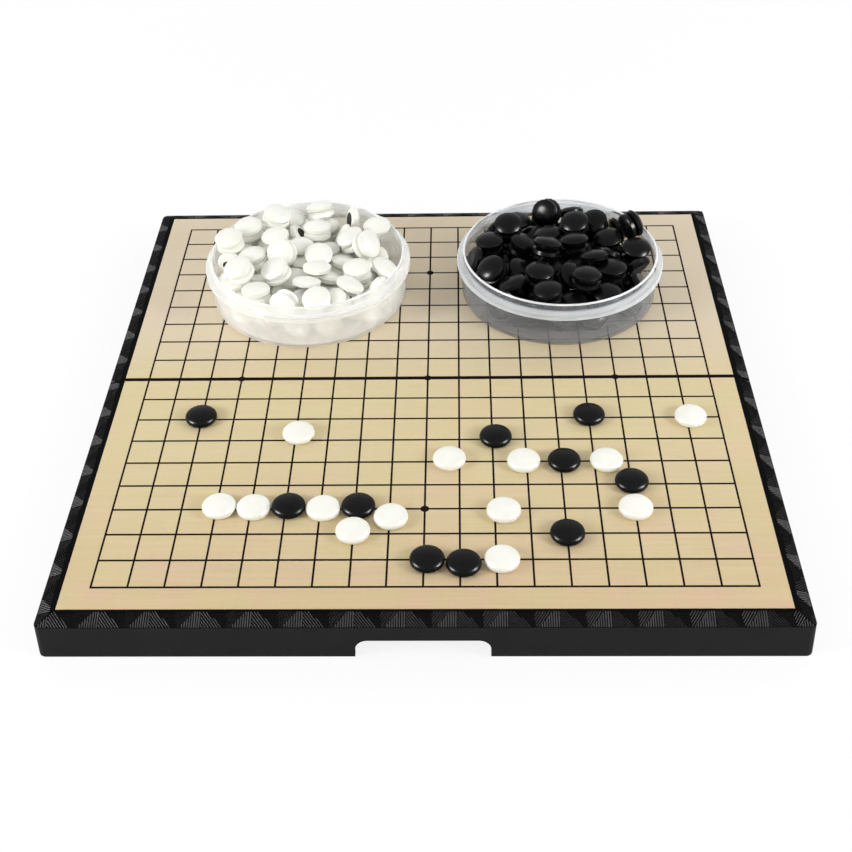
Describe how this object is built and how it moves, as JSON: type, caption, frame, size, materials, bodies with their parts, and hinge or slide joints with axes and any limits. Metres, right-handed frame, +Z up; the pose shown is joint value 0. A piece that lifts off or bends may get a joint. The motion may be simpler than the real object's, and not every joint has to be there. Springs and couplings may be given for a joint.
{
  "type": "folding board game set",
  "caption": "Folding go board of two tray halves on link hinges, with magnetic domed stones in play and two open bowls of spare stones",
  "frame": {"origin": "on the resting surface, under the middle of the fold", "axes": "+X right along the fold, +Y to the half with the bowls, +Z up"},
  "size_m": [0.373, 0.3736, 0.0668],
  "materials": {
    "case": "satin black moulded plastic, finely hatched facets on the border",
    "steel": "bright rolled steel",
    "panel": "printed light wood grain with dark grid lines",
    "link": "black nylon",
    "magnet": "dark ferrite",
    "bowl": "frosted translucent plastic",
    "white_stone": "smooth ivory white",
    "black_stone": "smooth black"
  },
  "bodies": {
    "rear_half": {"rear_case": "case", "rear_steel_sheet": "steel", "rear_board_panel": "panel", "rear_hinge_pins": "steel", "rear_closure_magnets": "magnet"},
    "hinge_links": {"left_hinge_link": "link", "right_hinge_link": "link"},
    "front_half": {"front_case": "case", "front_steel_sheet": "steel", "front_board_panel": "panel", "front_hinge_pins": "steel", "front_closure_magnets": "magnet"},
    "white_bowl_full": {"white_bowl": "bowl", "white_spare_stones": "white_stone", "white_spare_magnets": "magnet"},
    "black_bowl_full": {"black_bowl": "bowl", "black_spare_stones": "black_stone", "black_spare_magnets": "magnet"},
    "set_black_stone_01": {"black_stone_01": "black_stone"},
    "set_black_stone_02": {"black_stone_02": "black_stone"},
    "set_black_stone_03": {"black_stone_03": "black_stone"},
    "set_black_stone_04": {"black_stone_04": "black_stone"},
    "set_black_stone_05": {"black_stone_05": "black_stone"},
    "set_black_stone_06": {"black_stone_06": "black_stone"},
    "set_black_stone_07": {"black_stone_07": "black_stone"},
    "set_black_stone_08": {"black_stone_08": "black_stone"},
    "set_black_stone_09": {"black_stone_09": "black_stone"},
    "set_black_stone_10": {"black_stone_10": "black_stone"},
    "set_white_stone_01": {"white_stone_01": "white_stone"},
    "set_white_stone_02": {"white_stone_02": "white_stone"},
    "set_white_stone_03": {"white_stone_03": "white_stone"},
    "set_white_stone_04": {"white_stone_04": "white_stone"},
    "set_white_stone_05": {"white_stone_05": "white_stone"},
    "set_white_stone_06": {"white_stone_06": "white_stone"},
    "set_white_stone_07": {"white_stone_07": "white_stone"},
    "set_white_stone_08": {"white_stone_08": "white_stone"},
    "set_white_stone_09": {"white_stone_09": "white_stone"},
    "set_white_stone_10": {"white_stone_10": "white_stone"},
    "set_white_stone_11": {"white_stone_11": "white_stone"},
    "set_white_stone_12": {"white_stone_12": "white_stone"},
    "set_white_stone_13": {"white_stone_13": "white_stone"}
  },
  "joints": [
    {"name": "rear_fold", "type": "hinge", "parent": "rear_half", "child": "hinge_links", "pos_m": [0, 0.003, 0.003], "axis": [1, 0, 0], "range_deg": [0, 90]},
    {"name": "front_fold", "type": "hinge", "parent": "hinge_links", "child": "front_half", "pos_m": [0, -0.003, 0.003], "axis": [1, 0, 0], "range_deg": [0, 90]},
    {"name": "white_bowl_lift", "type": "slide", "parent": "rear_half", "child": "white_bowl_full", "axis": [0, 0, 1], "range_m": [0, 0.06]},
    {"name": "black_bowl_lift", "type": "slide", "parent": "rear_half", "child": "black_bowl_full", "axis": [0, 0, 1], "range_m": [0, 0.06]},
    {"name": "black_stone_01_lift", "type": "slide", "parent": "front_half", "child": "set_black_stone_01", "axis": [0, 0, 1], "range_m": [0, 0.02]},
    {"name": "black_stone_02_lift", "type": "slide", "parent": "front_half", "child": "set_black_stone_02", "axis": [0, 0, 1], "range_m": [0, 0.02]},
    {"name": "black_stone_03_lift", "type": "slide", "parent": "front_half", "child": "set_black_stone_03", "axis": [0, 0, 1], "range_m": [0, 0.02]},
    {"name": "black_stone_04_lift", "type": "slide", "parent": "front_half", "child": "set_black_stone_04", "axis": [0, 0, 1], "range_m": [0, 0.02]},
    {"name": "black_stone_05_lift", "type": "slide", "parent": "front_half", "child": "set_black_stone_05", "axis": [0, 0, 1], "range_m": [0, 0.02]},
    {"name": "black_stone_06_lift", "type": "slide", "parent": "front_half", "child": "set_black_stone_06", "axis": [0, 0, 1], "range_m": [0, 0.02]},
    {"name": "black_stone_07_lift", "type": "slide", "parent": "front_half", "child": "set_black_stone_07", "axis": [0, 0, 1], "range_m": [0, 0.02]},
    {"name": "black_stone_08_lift", "type": "slide", "parent": "front_half", "child": "set_black_stone_08", "axis": [0, 0, 1], "range_m": [0, 0.02]},
    {"name": "black_stone_09_lift", "type": "slide", "parent": "front_half", "child": "set_black_stone_09", "axis": [0, 0, 1], "range_m": [0, 0.02]},
    {"name": "black_stone_10_lift", "type": "slide", "parent": "front_half", "child": "set_black_stone_10", "axis": [0, 0, 1], "range_m": [0, 0.02]},
    {"name": "white_stone_01_lift", "type": "slide", "parent": "front_half", "child": "set_white_stone_01", "axis": [0, 0, 1], "range_m": [0, 0.02]},
    {"name": "white_stone_02_lift", "type": "slide", "parent": "front_half", "child": "set_white_stone_02", "axis": [0, 0, 1], "range_m": [0, 0.02]},
    {"name": "white_stone_03_lift", "type": "slide", "parent": "front_half", "child": "set_white_stone_03", "axis": [0, 0, 1], "range_m": [0, 0.02]},
    {"name": "white_stone_04_lift", "type": "slide", "parent": "front_half", "child": "set_white_stone_04", "axis": [0, 0, 1], "range_m": [0, 0.02]},
    {"name": "white_stone_05_lift", "type": "slide", "parent": "front_half", "child": "set_white_stone_05", "axis": [0, 0, 1], "range_m": [0, 0.02]},
    {"name": "white_stone_06_lift", "type": "slide", "parent": "front_half", "child": "set_white_stone_06", "axis": [0, 0, 1], "range_m": [0, 0.02]},
    {"name": "white_stone_07_lift", "type": "slide", "parent": "front_half", "child": "set_white_stone_07", "axis": [0, 0, 1], "range_m": [0, 0.02]},
    {"name": "white_stone_08_lift", "type": "slide", "parent": "front_half", "child": "set_white_stone_08", "axis": [0, 0, 1], "range_m": [0, 0.02]},
    {"name": "white_stone_09_lift", "type": "slide", "parent": "front_half", "child": "set_white_stone_09", "axis": [0, 0, 1], "range_m": [0, 0.02]},
    {"name": "white_stone_10_lift", "type": "slide", "parent": "front_half", "child": "set_white_stone_10", "axis": [0, 0, 1], "range_m": [0, 0.02]},
    {"name": "white_stone_11_lift", "type": "slide", "parent": "front_half", "child": "set_white_stone_11", "axis": [0, 0, 1], "range_m": [0, 0.02]},
    {"name": "white_stone_12_lift", "type": "slide", "parent": "front_half", "child": "set_white_stone_12", "axis": [0, 0, 1], "range_m": [0, 0.02]},
    {"name": "white_stone_13_lift", "type": "slide", "parent": "front_half", "child": "set_white_stone_13", "axis": [0, 0, 1], "range_m": [0, 0.02]}
  ],
  "couplings": [
    {"joint": "front_fold", "follows": "rear_fold", "ratio": 1}
  ]
}
